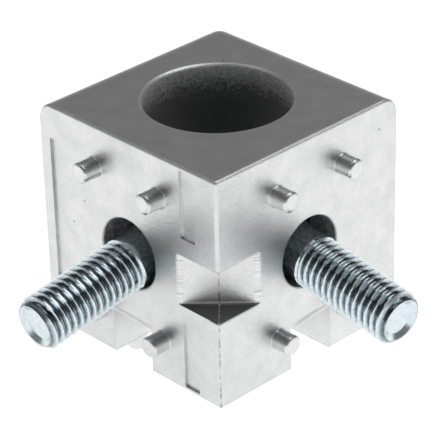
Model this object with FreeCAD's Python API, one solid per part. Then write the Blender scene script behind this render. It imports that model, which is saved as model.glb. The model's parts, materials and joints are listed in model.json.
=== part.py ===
import FreeCAD, Part
import math
import os

from FreeCAD import Placement, Rotation, Vector

# Cube connector for the ends of square aluminium profiles
# Lengths are millimetres and angles are degrees.
# The origin is the middle of the bottom connecting face, with +Z up.
# The left connecting face looks along -Y and the right one along +X.
# The open faces, with the access bores, are the top, -X and +Y.

# Cube
cube_edge = 45.0
outer_edge_radius = 3.5
crisp_edge_bevel = 0.35

# Bores from the open faces, each down to the shoulder for the screw in the face opposite
# The top one is also the cavity, wide enough to reach all three screws.
top_bore_radius = 13.5
side_bore_radius = 9.5
bore_mouth_bevel = 0.4
bore_root_bevel = 0.6
screw_wall = 6.5

# Screw holes, one in the middle of each connecting face
screw_hole_radius = 6.75
screw_hole_bevel = 0.2

# Locating pins, four on each connecting face
pin_radius = 1.9
pin_length = 3.7
pin_short_pitch = 16.2
pin_long_pitch = 28.7
pin_tip_bevel = 0.35

# Notches, one in each edge between two connecting faces
notch_leg = 9.8
notch_width = 10.2
notch_lip_radius = 1.6
notch_root_radius = 0.4

# Shallow marking fields on the left face, left bare
field_depth = 0.45
field_width = 3.7
field_corner_radius = 0.4
tall_field_length = 28.8
tall_field_side_gap = 2.7
tall_field_foot_gap = 9.7
short_field_length = 13.2
short_field_side_gap = 5.3
short_field_end_gap = 0.8

# Low-head socket cap screws
screw_length = 30.0
thread_radius = 5.0
thread_root_radius = 4.08
head_radius = 8.0
head_height = 6.0
head_top_bevel = 0.7
head_bearing_bevel = 0.15
hex_socket_width = 7.0
hex_socket_depth = 3.5
hex_socket_lead = 0.25
end_rim_width = 0.25
end_dish_depth = 0.7
end_dish_floor_radius = 2.9

# How the loose screws rest: nose down, swung sideways, and rolled up the side of the hole
seat_clearance = 0.02
left_droop = 8.9
left_swing = -0.5
left_roll = 0.0
right_droop = 7.3
right_swing = -2.9
right_roll = 13.5

# How far a cutter runs past a face, how deep a pin is rooted behind it, and what counts as touching
overrun = 1.0
pin_rooting = 0.5
touching = 1e-6

# Directions
along_x = Vector(1, 0, 0)
along_y = Vector(0, 1, 0)
up = Vector(0, 0, 1)

# Outward normals of the connecting faces
left = along_y * -1
right = along_x
bottom = up * -1

half_edge = cube_edge / 2
cube_centre = up * half_edge
shoulder = half_edge - screw_wall


def lies_in_face(edge, normal):
    """Whether an edge of the plain cube lies in the face with this outward normal."""
    return abs((edge.CenterOfMass - cube_centre).dot(normal) - half_edge) < touching


def in_connecting_face(edge):
    return any(lies_in_face(edge, normal) for normal in (left, right, bottom))


def plain_cube():
    """Cube with large radii between its open faces and a crisp edge round each other face."""
    cube = Part.makeBox(cube_edge, cube_edge, cube_edge, Vector(-half_edge, -half_edge, 0))
    cube = cube.makeFillet(outer_edge_radius, [e for e in cube.Edges if not in_connecting_face(e)])
    return cube.makeChamfer(crisp_edge_bevel, [e for e in cube.Edges if in_connecting_face(e)])


def turned(profile, place, axis):
    """Solid of revolution: points of (distance along the axis, radius), from place along axis."""
    points = [Vector(radius, 0, distance) for distance, radius in profile]
    outline = Part.makePolygon(points + [points[0]])
    solid = Part.Face(outline).revolve(Vector(0, 0, 0), up, 360)
    solid.Placement = Placement(place, Rotation(up, axis))
    return solid


def access_bore(normal, radius):
    """Cutter for the bore behind a connecting face, open at the face opposite."""
    depth = half_edge + shoulder
    profile = [
        (-overrun, 0),
        (-overrun, radius + bore_mouth_bevel + overrun),
        (bore_mouth_bevel, radius),
        (depth - bore_root_bevel, radius),
        (depth, radius - bore_root_bevel),
        (depth, 0),
    ]
    return turned(profile, cube_centre - normal * half_edge, normal)


def screw_hole(normal):
    """Cutter for the screw hole from a connecting face to its access bore."""
    profile = [
        (-overrun, 0),
        (-overrun, screw_hole_radius + screw_hole_bevel + overrun),
        (screw_hole_bevel, screw_hole_radius),
        (screw_wall + overrun, screw_hole_radius),
        (screw_wall + overrun, 0),
    ]
    return turned(profile, cube_centre + normal * half_edge, normal * -1)


def notch(first, second):
    """Cutter for the notch in the edge between the faces with these outward normals.

    Its section cuts the corner at 45 degrees. At each lip an arc turns from the cut towards the
    face and stops just short of it, so that the cutter crosses the face at a small angle.
    """
    edge_way = first.cross(second)
    corner = cube_centre + (first + second) * half_edge - edge_way * (notch_width / 2)
    crossing = math.radians(5)
    slope = math.radians(45)
    lip_centre = notch_leg + notch_lip_radius * math.tan(slope / 2)
    lead = overrun / 4 / math.tan(crossing)

    def lip(angle, run=0.0):
        """Point on a lip, as distances from the corner along one face and behind it."""
        along = lip_centre - notch_lip_radius * math.sin(angle) + run * math.cos(angle)
        behind = notch_lip_radius * (1 - math.cos(angle)) - run * math.sin(angle)
        return along, behind

    def on_first(place):
        return corner - second * place[0] - first * place[1]

    def on_second(place):
        return corner - first * place[0] - second * place[1]

    outline = []
    ends = []
    for side in (on_first, on_second):
        start, middle, end = lip(crossing), lip((crossing + slope) / 2), lip(slope)
        run_out = lip(crossing, lead)
        outside = (run_out[0], -overrun)
        outline.append(Part.LineSegment(side(outside), side(run_out)))
        outline.append(Part.LineSegment(side(run_out), side(start)))
        outline.append(Part.Arc(side(start), side(middle), side(end)))
        ends.append(side(end))
        outline.append(Part.LineSegment(side(outside), side((-overrun, -overrun))))
    outline.append(Part.LineSegment(*ends))
    edges = Part.__sortEdges__([curve.toShape() for curve in outline])
    cutter = Part.Face(Part.Wire(edges)).extrude(edge_way * notch_width)
    wall_ends = [(ends[0] + ends[1]) / 2 + edge_way * distance for distance in (0, notch_width)]
    root = [e for e in cutter.Edges if min(e.CenterOfMass.distanceToPoint(p) for p in wall_ends) < touching]
    return cutter.makeFillet(notch_root_radius, root)


def locating_pins(normal, long_way):
    """Four round pins in a rectangle about the middle of a connecting face."""
    short_way = normal.cross(long_way)
    profile = [
        (-pin_rooting, 0),
        (-pin_rooting, pin_radius),
        (pin_length - pin_tip_bevel, pin_radius),
        (pin_length, pin_radius - pin_tip_bevel),
        (pin_length, 0),
    ]
    pins = []
    for short_side in (-0.5, 0.5):
        for long_side in (-0.5, 0.5):
            offset = short_way * (short_side * pin_short_pitch) + long_way * (long_side * pin_long_pitch)
            pins.append(turned(profile, cube_centre + normal * half_edge + offset, normal))
    return pins


def marking_field(low_x, low_z, length):
    """Cutter for one shallow upright field in the left face."""
    corner = Vector(low_x, -half_edge - overrun, low_z)
    field = Part.makeBox(field_width, field_depth + overrun, length, corner)
    upright = [e for e in field.Edges if abs(e.tangentAt(e.FirstParameter).y) > 0.5]
    return field.makeFillet(field_corner_radius, upright)


def marking_fields():
    """Tall field beside the outer edge, and a short one at each end of the inner edge."""
    short_x = half_edge - short_field_side_gap - field_width
    return [
        marking_field(-half_edge + tall_field_side_gap, tall_field_foot_gap, tall_field_length),
        marking_field(short_x, cube_edge - short_field_end_gap - short_field_length, short_field_length),
        marking_field(short_x, short_field_end_gap, short_field_length),
    ]


def cube_body():
    """The casting: bored cube with notches, marking fields and locating pins."""
    cutters = [access_bore(bottom, top_bore_radius)]
    cutters += [access_bore(normal, side_bore_radius) for normal in (left, right)]
    cutters += [screw_hole(normal) for normal in (left, right, bottom)]
    cutters += [notch(left, right), notch(right, bottom), notch(bottom, left)]
    cutters += marking_fields()
    pins = locating_pins(left, up) + locating_pins(right, up) + locating_pins(bottom, along_y)
    return plain_cube().cut(cutters).fuse(pins)


def plain_screw():
    """Screw along +Z with its bearing face at zero, its head below and its shank above."""
    profile = [
        (-head_height, 0),
        (-head_height, head_radius - head_top_bevel),
        (head_top_bevel - head_height, head_radius),
        (-head_bearing_bevel, head_radius),
        (0, head_radius - head_bearing_bevel),
        (0, thread_radius),
        (screw_length - thread_radius + thread_root_radius, thread_radius),
        (screw_length, thread_root_radius),
        (screw_length, thread_root_radius - end_rim_width),
        (screw_length - end_dish_depth, end_dish_floor_radius),
        (screw_length - end_dish_depth, 0),
    ]
    return turned(profile, Vector(0, 0, 0), up)


def hex_socket():
    """Cutter for the hexagon socket, with the conical lead at its mouth."""
    corner_radius = hex_socket_width / math.sqrt(3)
    corners = [Rotation(up, 60 * turn).multVec(along_x * corner_radius) for turn in range(7)]
    hexagon = Part.Face(Part.makePolygon(corners)).extrude(up * (hex_socket_depth + overrun))
    hexagon.translate(up * (-head_height - overrun))
    mouth = corner_radius + hex_socket_lead
    lead_depth = mouth / math.tan(math.radians(60))
    lead = Part.makeCone(mouth, 0, lead_depth, up * -head_height)
    return hexagon.fuse(lead)


def socket_screw():
    return plain_screw().cut(hex_socket())


def resting_screw(normal, droop, swing, roll):
    """Screw that hangs loose in a screw hole and stands out of its face.

    The shank lies on the lower rim of the hole, and the upper edge of the bearing face
    leans on the shoulder inside.
    """
    side_way = up.cross(normal)
    level = normal * math.cos(math.radians(swing)) + side_way * math.sin(math.radians(swing))
    axis = level * math.cos(math.radians(droop)) - up * math.sin(math.radians(droop))
    tilt = axis.getAngle(normal)
    sag = screw_hole_radius - thread_radius / math.cos(tilt) - seat_clearance
    sag_way = side_way * math.sin(math.radians(roll)) - up * math.cos(math.radians(roll))
    rim_middle = cube_centre + normal * (half_edge - screw_hole_bevel)
    lean = (head_radius - head_bearing_bevel) * math.sin(tilt)
    setback = (screw_wall - screw_hole_bevel + seat_clearance + lean) / math.cos(tilt)
    screw = socket_screw()
    screw.Placement = Placement(rim_middle + sag_way * sag - axis * setback, Rotation(up, axis))
    return screw


pieces = {
    "cube_body": cube_body(),
    "left_screw": resting_screw(left, left_droop, left_swing, left_roll),
    "right_screw": resting_screw(right, right_droop, right_swing, right_roll),
}

os.makedirs("parts", exist_ok=True)
for name, shape in pieces.items():
    shape.exportStep("parts/" + name + ".step")
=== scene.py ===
import json
import math

import bmesh
import bpy
from mathutils import Matrix, Vector


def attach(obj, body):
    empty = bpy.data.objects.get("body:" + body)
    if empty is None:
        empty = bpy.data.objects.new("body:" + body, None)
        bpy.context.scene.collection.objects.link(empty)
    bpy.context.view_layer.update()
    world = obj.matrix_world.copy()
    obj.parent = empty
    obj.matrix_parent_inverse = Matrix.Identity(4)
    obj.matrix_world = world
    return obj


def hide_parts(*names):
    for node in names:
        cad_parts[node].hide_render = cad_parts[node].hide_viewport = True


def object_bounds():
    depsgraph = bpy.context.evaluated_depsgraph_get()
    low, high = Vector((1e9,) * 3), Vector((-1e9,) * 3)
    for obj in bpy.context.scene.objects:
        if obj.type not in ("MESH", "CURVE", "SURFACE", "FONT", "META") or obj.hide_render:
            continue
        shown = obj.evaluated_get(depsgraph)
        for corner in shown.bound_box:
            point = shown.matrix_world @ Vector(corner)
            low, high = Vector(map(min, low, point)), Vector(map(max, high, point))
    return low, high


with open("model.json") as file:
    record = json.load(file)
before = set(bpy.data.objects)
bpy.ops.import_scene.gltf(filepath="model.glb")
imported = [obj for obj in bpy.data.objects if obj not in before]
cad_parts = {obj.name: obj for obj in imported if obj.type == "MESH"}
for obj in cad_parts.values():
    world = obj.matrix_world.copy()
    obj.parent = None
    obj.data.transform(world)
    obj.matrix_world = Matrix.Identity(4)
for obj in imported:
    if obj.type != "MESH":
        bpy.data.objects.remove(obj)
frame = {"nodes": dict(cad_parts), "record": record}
cad_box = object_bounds()

MM = 0.001

# Camera at the photograph's place, about the middle of the cube
cube_edge = 45.0 * MM
photo_azimuth = math.radians(46.32)
photo_elevation = math.radians(29.55)
photo_roll = math.radians(-1.46)
photo_distance = 430.8 * MM
shift_right = 0.29 * MM
shift_up = -2.49 * MM
lens_mm = 192.8
sensor_mm = 36.0
clip_start = 10.0 * MM

# Floor, and what it adds to its own light to be white to the camera and in the metal
floor_half_width = 3.0
floor_colour = (0.93, 0.93, 0.93, 1.0)
floor_glow = 0.78

# Casting, as in the CAD, to find the places on its skin
top_bore_radius = 13.5 * MM
side_bore_radius = 9.5 * MM
screw_hole_radius = 6.75 * MM
bore_bevel = 0.4 * MM
screw_wall = 6.5 * MM
notch_leg = 9.8 * MM
notch_width = 10.2 * MM
field_depth = 0.45 * MM
tolerance = 0.1 * MM

# Bands on the left face that hold its marking fields, from the middle
fields_from_middle = (13.0 * MM, 20.2 * MM)
fields_half_height = 22.0 * MM

# x - y grows towards the front edge: where the corner begins, and where the notch's wall ends
corner_starts = cube_edge * 0.7
notch_wall_ends = cube_edge * 0.8
facing_up = 0.5

# Marks on the cast skin, with painted shade on the notch's ledge and down the bores, and painted highlight
# on the notch's lips
seam_width = 0.4 * MM
lip_highlight_and_marks_width = 1.2 * MM
pit_size = 0.035
pit_colour = (0.25, 0.25, 0.25, 1.0)
painted_ledge_shade = (0.22, 0.222, 0.22, 1.0)
level_stretch = (0.06, 0.06, 1.0)
bore_unevenness = 8.0 * MM
bore_fade_depth = 10.0 * MM

# Finish of the casting
skin_roughness = 0.39
bore_roughness = 0.7
pin_roughness = 0.26
grain_strength = 0.5
grain_depth = 0.09 * MM
edge_softness = 0.6 * MM
edge_samples = 6
casting_sharp_angle = math.radians(25)

# Finish of the screws
plating_roughness = 0.1
sparkle_strength = 0.3
sparkle_depth = 0.05 * MM
screw_sharp_angle = math.radians(30)

# Fineness of the patterns, in cells to the metre
pit_scale = 170.0
mottle_scale = 260.0
pore_scale = 900.0
streak_scale = 1600.0
fine_pore_scale = 1900.0
grain_scale = 2600.0
level_line_scale = 3200.0
sparkle_scale = 5000.0

# Screws, as in the CAD, with their thread
screw_length = 30.0 * MM
crest_radius = 5.0 * MM
root_radius = 4.08 * MM
pitch = 1.5 * MM
plain_length = 8.6 * MM
run_out_length = 0.7 * MM
head_radius = 8.0 * MM
head_height = 6.0 * MM
head_top_bevel = 0.7 * MM
head_bearing_bevel = 0.15 * MM
socket_width = 7.0 * MM
socket_depth = 3.5 * MM
socket_lead = 0.25 * MM
end_rim_width = 0.25 * MM
end_dish_depth = 0.7 * MM
end_dish_floor = 2.9 * MM

# Steps round a screw, turns by which the helix starts before the shank, and what counts as touching
segments = 120
lead_in_turns = 1.5
root_slack = 1e-6
merge_distance = 1e-7

cube_centre = Vector((0, 0, cube_edge / 2))
mounts = {mount["name"]: mount for mount in frame["record"]["mounts"]}


class Nodes:
    """Small helper that builds a shader tree, one call per node."""

    def __init__(self, tree):
        self.tree = tree
        tree.nodes.clear()

    def add(self, kind, inputs=None, **settings):
        node = self.tree.nodes.new(kind)
        for name, value in settings.items():
            setattr(node, name, value)
        for name, value in (inputs or {}).items():
            socket = node.inputs[name]
            if isinstance(value, bpy.types.NodeSocket):
                self.tree.links.new(value, socket)
            else:
                socket.default_value = value
        return node

    def math(self, operation, first, second=0.0):
        node = self.add("ShaderNodeMath", {0: first, 1: second}, operation=operation)
        return node.outputs[0]

    def less(self, first, second):
        return self.math("LESS_THAN", first, second)

    def greater(self, first, second):
        return self.math("GREATER_THAN", first, second)

    def between(self, low, value, high):
        return self.all_of([self.greater(value, low), self.less(value, high)])

    def all_of(self, shares):
        """Product of shares, which is 1 only where each of them is."""
        product = shares[0]
        for share in shares[1:]:
            product = self.math("MULTIPLY", product, share)
        return product

    def vector(self, operation, first, second):
        node = self.add("ShaderNodeVectorMath", {0: first, 1: second}, operation=operation)
        return node.outputs[0]

    def parts(self, vector):
        return self.add("ShaderNodeSeparateXYZ", {0: vector}).outputs

    def noise(self, place, scale, detail):
        inputs = {"Vector": place, "Scale": scale, "Detail": detail}
        return self.add("ShaderNodeTexNoise", inputs).outputs["Fac"]

    def blend(self, share, first, second):
        """Colour that goes from the first to the second as the share goes from 0 to 1."""
        node = self.add("ShaderNodeMix", {0: share, 6: first, 7: second}, data_type="RGBA")
        return node.outputs[2]

    def ramp(self, factor, stops):
        """Colour or grey that follows the factor, from stops of (position, level)."""
        node = self.add("ShaderNodeValToRGB", {"Fac": factor})
        elements = node.color_ramp.elements
        while len(elements) < len(stops):
            elements.new(0.5)
        for element, (position, level) in zip(elements, stops):
            element.position = position
            colour = level if isinstance(level, tuple) else (level,) * 3
            element.color = (*colour, 1.0)
        return node.outputs["Color"]

    def bump(self, height, strength, depth, **inputs):
        inputs = {"Height": height, "Strength": strength, "Distance": depth, **inputs}
        return self.add("ShaderNodeBump", inputs).outputs["Normal"]

    def finish_metal(self, colour, roughness, normal):
        shader = self.add("ShaderNodeBsdfPrincipled", {
            "Base Color": colour, "Metallic": 1.0, "Roughness": roughness, "Normal": normal,
        })
        self.add("ShaderNodeOutputMaterial", {"Surface": shader.outputs["BSDF"]})


def new_material(name):
    material = bpy.data.materials.new(name)
    material.use_nodes = True
    return material, Nodes(material.node_tree)


class CastingPlaces:
    """Shares that are 1 in one part of the casting and 0 elsewhere, from the shader's own place."""

    def __init__(self, nodes):
        self.place = nodes.add("ShaderNodeTexCoord").outputs["Object"]
        centred = nodes.vector("SUBTRACT", self.place, tuple(cube_centre))
        x, y, z = nodes.parts(centred)
        squares = nodes.parts(nodes.vector("MULTIPLY", centred, centred))
        farthest = nodes.math("MAXIMUM", nodes.math("MAXIMUM", squares[0], squares[1]), squares[2])
        self.depth = nodes.math("SUBTRACT", cube_edge / 2, nodes.math("SQRT", farthest))
        self.on_pin = nodes.less(self.depth, -tolerance)
        self.find_bores(nodes, z, squares, farthest)
        self.find_fields(nodes, x, y, z)
        self.find_notch(nodes, x, y, z)

    def find_bores(self, nodes, z, squares, farthest):
        across = nodes.math("ADD", squares[0], squares[1])
        from_upright = nodes.math("SQRT", across)
        all_squares = nodes.math("ADD", across, squares[2])
        from_nearest_axis = nodes.math("SQRT", nodes.math("SUBTRACT", all_squares, farthest))
        below_skin = nodes.greater(self.depth, bore_bevel)
        in_top_bore = nodes.all_of([
            nodes.less(from_upright, top_bore_radius + tolerance),
            nodes.between(screw_wall - cube_edge / 2, z, cube_edge / 2 - bore_bevel),
        ])
        in_side_bore = nodes.all_of([
            below_skin, nodes.less(from_nearest_axis, side_bore_radius + tolerance),
        ])
        self.in_bore = nodes.math("MAXIMUM", in_top_bore, in_side_bore)
        self.in_hole = nodes.all_of([
            below_skin, nodes.less(from_nearest_axis, screw_hole_radius + tolerance),
        ])

    def find_fields(self, nodes, x, y, z):
        inner, outer = fields_from_middle
        self.by_fields = nodes.all_of([
            nodes.less(y, field_depth + tolerance - cube_edge / 2),
            nodes.between(inner, nodes.math("ABSOLUTE", x), outer),
            nodes.less(nodes.math("ABSOLUTE", z), fields_half_height),
        ])

    def find_notch(self, nodes, x, y, z):
        upward = nodes.parts(nodes.add("ShaderNodeNewGeometry").outputs["Normal"])[2]
        towards_edge = nodes.math("SUBTRACT", x, y)
        off_seam = nodes.math("ABSOLUTE", nodes.math("ADD", x, y))
        notch_end = notch_width / 2 + tolerance
        at_corner = nodes.greater(towards_edge, corner_starts)
        in_notch = nodes.all_of([at_corner, nodes.between(-notch_end, z, notch_end)])
        self.on_ledge = nodes.all_of([in_notch, nodes.greater(upward, facing_up)])
        self.on_seam = nodes.all_of([
            at_corner, nodes.less(z, notch_end), nodes.less(off_seam, seam_width / 2),
        ])
        self.on_notch_lips = nodes.all_of([
            in_notch,
            nodes.less(towards_edge, notch_wall_ends),
            nodes.between(notch_leg - lip_highlight_and_marks_width, off_seam, notch_leg + lip_highlight_and_marks_width / 2),
        ])


def skin_colour(nodes, places, grain, pores):
    """Pale mottled skin with pits, painted highlight streaks with darker draw marks on the notch's lips,
    painted shade on the notch's ledge, and the seam.
    """
    mottle = nodes.noise(places.place, mottle_scale, 3.0)
    cloudy = nodes.math("MULTIPLY", nodes.math("ADD", mottle, grain), 0.5)
    skin = nodes.ramp(cloudy, [(0.35, (0.65, 0.655, 0.655)), (0.65, (0.77, 0.775, 0.77))])
    pits = nodes.add("ShaderNodeTexVoronoi", {"Vector": places.place, "Scale": pit_scale})
    skin = nodes.blend(nodes.less(pits.outputs["Distance"], pit_size), skin, pit_colour)
    # Painted highlight along the notch's lips, in streaks broken by darker draw marks
    level_place = nodes.vector("MULTIPLY", places.place, level_stretch)
    level_lines = nodes.noise(level_place, level_line_scale, 1.0)
    lip_highlight_and_marks = nodes.ramp(level_lines, [(0.34, 0.50), (0.44, 0.70), (0.60, 0.73), (0.70, 0.84)])
    skin = nodes.blend(places.on_notch_lips, skin, lip_highlight_and_marks)
    # Painted shade on the upward-facing ledge of the notch
    skin = nodes.blend(places.on_ledge, skin, painted_ledge_shade)
    seam = nodes.ramp(pores, [(0.42, 0.35), (0.56, 0.68)])
    return nodes.blend(places.on_seam, skin, seam)


def painted_bore_shade(nodes, places):
    """Painted shade that deepens down the bore, unevenly, below a painted light band at its mouth."""
    fine_pores = nodes.noise(places.place, fine_pore_scale, 4.0)
    uneven = nodes.math("MULTIPLY", nodes.math("SUBTRACT", fine_pores, 0.5), bore_unevenness)
    share = nodes.math("DIVIDE", nodes.math("ADD", places.depth, uneven), bore_fade_depth)
    return nodes.ramp(share, [(0.0, 0.84), (0.22, 0.62), (0.52, 0.22), (0.85, 0.18)])


def casting_roughness(nodes, places):
    inside = nodes.math("MAXIMUM", places.in_bore, places.in_hole)
    roughness = nodes.ramp(inside, [(0.0, skin_roughness), (1.0, bore_roughness)])
    return nodes.blend(places.on_pin, roughness, (pin_roughness, pin_roughness, pin_roughness, 1.0))


def casting_normal(nodes, places, grain):
    """Edges that look soft, apart from those of the marking fields, under the cast grain."""
    softness = nodes.math("MULTIPLY", nodes.math("SUBTRACT", 1.0, places.by_fields), edge_softness)
    soft_edges = nodes.add("ShaderNodeBevel", {"Radius": softness}, samples=edge_samples)
    return nodes.bump(grain, grain_strength, grain_depth, Normal=soft_edges.outputs["Normal"])


def cast_aluminium():
    """Blasted die-cast skin, with painted shade in the bores."""
    material, nodes = new_material("cast_aluminium")
    places = CastingPlaces(nodes)
    grain = nodes.noise(places.place, grain_scale, 4.0)
    pores = nodes.noise(places.place, pore_scale, 5.0)
    skin = skin_colour(nodes, places, grain, pores)
    bore_shade = painted_bore_shade(nodes, places)
    hole = nodes.ramp(pores, [(0.35, 0.4), (0.7, 0.9)])
    colour = nodes.blend(places.in_hole, nodes.blend(places.in_bore, skin, bore_shade), hole)
    roughness = casting_roughness(nodes, places)
    nodes.finish_metal(colour, roughness, casting_normal(nodes, places, grain))
    return material


def zinc_plate():
    """Bright zinc plating with a blue tint, with painted shade towards the thread's root."""
    material, nodes = new_material("zinc_plate")
    place = nodes.add("ShaderNodeTexCoord").outputs["Object"]
    streak = nodes.noise(place, streak_scale, 4.0)
    sparkle = nodes.noise(place, sparkle_scale, 3.0)
    height = nodes.add("ShaderNodeAttribute", attribute_name="thread_height").outputs["Fac"]
    bright = nodes.ramp(streak, [(0.3, (0.54, 0.62, 0.65)), (0.7, (0.72, 0.79, 0.82))])
    # Painted shade in the thread's roots
    root_shade = nodes.ramp(streak, [(0.3, (0.13, 0.16, 0.18)), (0.7, (0.28, 0.33, 0.36))])
    colour = nodes.blend(nodes.ramp(height, [(0.15, 0.0), (0.8, 1.0)]), root_shade, bright)
    nodes.finish_metal(colour, plating_roughness, nodes.bump(sparkle, sparkle_strength, sparkle_depth))
    return material


def add_object(name, data):
    thing = bpy.data.objects.new(name, data)
    bpy.context.scene.collection.objects.link(thing)
    return thing


def dress_casting(body):
    """Cast skin on the casting's own mesh, with its flat faces shaded flat."""
    material = cast_aluminium()
    for material_slot in body.material_slots:
        material_slot.material = material
    body.data.shade_smooth()
    body.data.set_sharp_from_angle(angle=casting_sharp_angle)
    shading = body.modifiers.new("flat_faces", "WEIGHTED_NORMAL")
    shading.keep_sharp = True


def thread_section():
    """One pitch of the thread's outline, as (distance, share of the thread's depth), with soft corners."""
    crest = pitch / 16
    root = pitch / 8
    return [
        (0.0, 1.0),
        (crest * 0.8, 1.0),
        (crest * 1.4, 0.93),
        (pitch / 2 - root * 1.3, 0.10),
        (pitch / 2 - root * 0.6, 0.02),
        (pitch / 2, 0.0),
        (pitch / 2 + root * 0.6, 0.02),
        (pitch / 2 + root * 1.3, 0.10),
        (pitch - crest * 1.4, 0.93),
        (pitch - crest * 0.8, 1.0),
    ]


def thread_radius(distance, share):
    """Radius of the shank at a distance from the head, between its plain part and its bevelled end."""
    bevel = root_radius + max(screw_length - distance, 0.0)
    fade = min(max((distance - plain_length) / run_out_length, 0.0), 1.0)
    cut = (crest_radius - root_radius) * (1 - share) * fade
    return min(crest_radius - cut, bevel)


def round_point(mesh, radius, angle, distance):
    return mesh.verts.new((radius * math.cos(angle), radius * math.sin(angle), distance))


def add_thread(mesh):
    """Helical thread. Each row of points crosses one pitch, and rows follow the helix."""
    section = thread_section()
    turns = math.ceil(screw_length / pitch) + 2
    rows = []
    for step in range(turns * segments + 1):
        angle = 2 * math.pi * step / segments
        start = pitch * (step / segments - lead_in_turns)
        row = []
        for distance, share in section:
            along = start + distance
            radius = thread_radius(along, share)
            row.append(round_point(mesh, radius, angle, min(max(along, 0.0), screw_length)))
        rows.append(row)
    for step, row in enumerate(rows[:-1]):
        ahead = rows[step + 1]
        for place in range(len(section) - 1):
            mesh.faces.new((row[place], ahead[place], ahead[place + 1], row[place + 1]))
        if step + 1 + segments < len(rows):
            mesh.faces.new((row[-1], ahead[-1], rows[step + 1 + segments][0], rows[step + segments][0]))


def at(value, angle):
    """A profile's value, which is a number or a function of the angle about the axis."""
    return value(angle) if callable(value) else value


def ring(mesh, radius, distance):
    points = []
    for step in range(segments):
        angle = 2 * math.pi * step / segments
        points.append(round_point(mesh, at(radius, angle), angle, at(distance, angle)))
    return points


def bridge(mesh, first, second):
    for step in range(segments):
        ahead = (step + 1) % segments
        mesh.faces.new((first[step], first[ahead], second[ahead], second[step]))


def add_rings(mesh, profile):
    """Surface through rings, each given as (radius, distance), closed at the last one."""
    rings = [ring(mesh, radius, distance) for radius, distance in profile]
    for first, second in zip(rings, rings[1:]):
        bridge(mesh, first, second)
    mesh.faces.new(rings[-1])


def hexagon(angle):
    """Distance from the axis to the socket's wall."""
    turn = angle % (math.pi / 3) - math.pi / 6
    return socket_width / 2 / math.cos(turn)


def head_profile():
    """Low cylinder head with its hexagon socket and the socket's conical lead."""
    mouth = socket_width / math.sqrt(3) + socket_lead
    lead = math.tan(math.radians(60))
    return [
        (crest_radius, 0.0),
        (head_radius - head_bearing_bevel, 0.0),
        (head_radius, -head_bearing_bevel),
        (head_radius, head_top_bevel - head_height),
        (head_radius - head_top_bevel, -head_height),
        (mouth, -head_height),
        (hexagon, lambda angle: (mouth - hexagon(angle)) / lead - head_height),
        (hexagon, socket_depth - head_height),
    ]


def end_profile():
    """Narrow rim round a dished end."""
    return [
        (root_radius, screw_length),
        (root_radius - end_rim_width, screw_length),
        (end_dish_floor, screw_length - end_dish_depth),
    ]


def height_in_thread(point):
    """Share of the thread's depth at which a point lies, and 1 on the rest of the screw."""
    above_root = point.xy.length - root_radius
    in_thread = above_root > -root_slack and point.z > plain_length
    return above_root / (crest_radius - root_radius) if in_thread else 1.0


def screw_mesh():
    """Screw along +Z with its bearing face at zero, its head below and its shank above."""
    mesh = bmesh.new()
    height = mesh.verts.layers.float.new("thread_height")
    add_thread(mesh)
    add_rings(mesh, head_profile())
    add_rings(mesh, end_profile())
    bmesh.ops.remove_doubles(mesh, verts=mesh.verts, dist=merge_distance)
    bmesh.ops.dissolve_degenerate(mesh, edges=mesh.edges, dist=merge_distance)
    bmesh.ops.recalc_face_normals(mesh, faces=mesh.faces)
    for vertex in mesh.verts:
        vertex[height] = height_in_thread(vertex.co)
    return mesh


def threaded_screw(name, node, mount, material):
    """Screw with its real thread, at the place of its plain solid."""
    mesh = screw_mesh()
    axis = Vector(mount["axis"]).normalized()
    turn = Vector((0, 0, 1)).rotation_difference(axis).to_matrix().to_4x4()
    place = Matrix.Translation(Vector(mount["pos_m"]) - axis * screw_length) @ turn
    bmesh.ops.transform(mesh, matrix=place, verts=mesh.verts)
    data = bpy.data.meshes.new(name)
    mesh.to_mesh(data)
    mesh.free()
    data.shade_smooth()
    data.set_sharp_from_angle(angle=screw_sharp_angle)
    data.materials.append(material)
    screw = add_object(name, data)
    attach(screw, "root")
    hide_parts(node)


def floor_paint():
    """Matt white that also glows to the camera and to mirror and clear surfaces."""
    material, nodes = new_material("floor")
    paint = nodes.add("ShaderNodeBsdfDiffuse", {"Color": floor_colour})
    ray = nodes.add("ShaderNodeLightPath").outputs
    seen = nodes.math("MAXIMUM", ray["Is Camera Ray"], ray["Is Glossy Ray"])
    seen = nodes.math("MAXIMUM", seen, ray["Is Transmission Ray"])
    glow = nodes.add("ShaderNodeEmission", {"Strength": nodes.math("MULTIPLY", seen, floor_glow)})
    both = nodes.add("ShaderNodeAddShader", {0: paint.outputs[0], 1: glow.outputs[0]})
    nodes.add("ShaderNodeOutputMaterial", {"Surface": both.outputs[0]})
    return material


def add_floor():
    """Plain floor under the pins, which keeps the object's shadow."""
    half, level = floor_half_width, cad_box[0].z
    corners = [(-half, -half, level), (half, -half, level), (half, half, level), (-half, half, level)]
    data = bpy.data.meshes.new("floor")
    data.from_pydata(corners, [], [(0, 1, 2, 3)])
    data.materials.append(floor_paint())
    add_object("floor", data)


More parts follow.
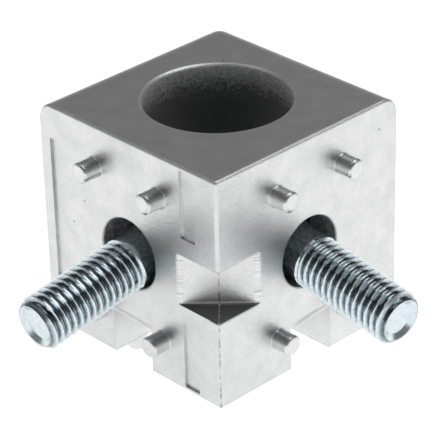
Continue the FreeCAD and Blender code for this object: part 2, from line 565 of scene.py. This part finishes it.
def light_world():
    """White surround with a dark ceiling."""
    world = bpy.data.worlds.new("studio")
    world.use_nodes = True
    bpy.context.scene.world = world
    nodes = Nodes(world.node_tree)
    height = nodes.parts(nodes.add("ShaderNodeTexCoord").outputs["Generated"])["Z"]
    level = nodes.ramp(height, [(0.0, 1.0), (0.03, 1.0), (0.10, 0.25), (0.48, 0.20), (0.75, 0.04)])
    shader = nodes.add("ShaderNodeBackground", {"Color": level, "Strength": 1.0})
    nodes.add("ShaderNodeOutputWorld", {"Surface": shader.outputs["Background"]})


def direction(azimuth, elevation):
    """Unit vector away from the cube. Azimuth 0 is in front of the left face, 90 of the right one."""
    return Vector((
        math.sin(azimuth) * math.cos(elevation),
        -math.cos(azimuth) * math.cos(elevation),
        math.sin(elevation),
    ))


def area_light(name, azimuth, elevation, distance, size, watts):
    lamp = bpy.data.lights.new(name, "AREA")
    lamp.size = size
    lamp.energy = watts
    holder = add_object(name, lamp)
    back = direction(math.radians(azimuth), math.radians(elevation))
    holder.location = cube_centre + back * distance
    holder.rotation_mode = "QUATERNION"
    holder.rotation_quaternion = back.to_track_quat("Z", "Y")


def add_camera():
    """Camera at the photograph's angle, with its slight roll."""
    back = direction(photo_azimuth, photo_elevation)
    level = Vector((math.cos(photo_azimuth), math.sin(photo_azimuth), 0))
    rise = back.cross(level)
    right = level * math.cos(photo_roll) + rise * math.sin(photo_roll)
    up = rise * math.cos(photo_roll) - level * math.sin(photo_roll)
    lens = bpy.data.cameras.new("camera")
    lens.lens = lens_mm
    lens.sensor_width = sensor_mm
    lens.clip_start = clip_start
    camera = add_object("camera", lens)
    turn = Matrix((right, up, back)).transposed().to_4x4()
    place = cube_centre + back * photo_distance + right * shift_right + up * shift_up
    camera.matrix_world = Matrix.Translation(place) @ turn
    bpy.context.scene.camera = camera


dress_casting(frame["nodes"]["cube_body"])
zinc = zinc_plate()
threaded_screw("left_threaded_screw", "left_screw", mounts["left_screw_end"], zinc)
threaded_screw("right_threaded_screw", "right_screw", mounts["right_screw_end"], zinc)

add_floor()
light_world()
area_light("left_softbox", azimuth=-60, elevation=66, distance=1.2, size=0.8, watts=1.4)
area_light("right_softbox", azimuth=150, elevation=66, distance=1.2, size=0.8, watts=4.8)
add_camera()
bpy.context.scene.view_settings.view_transform = "Standard"
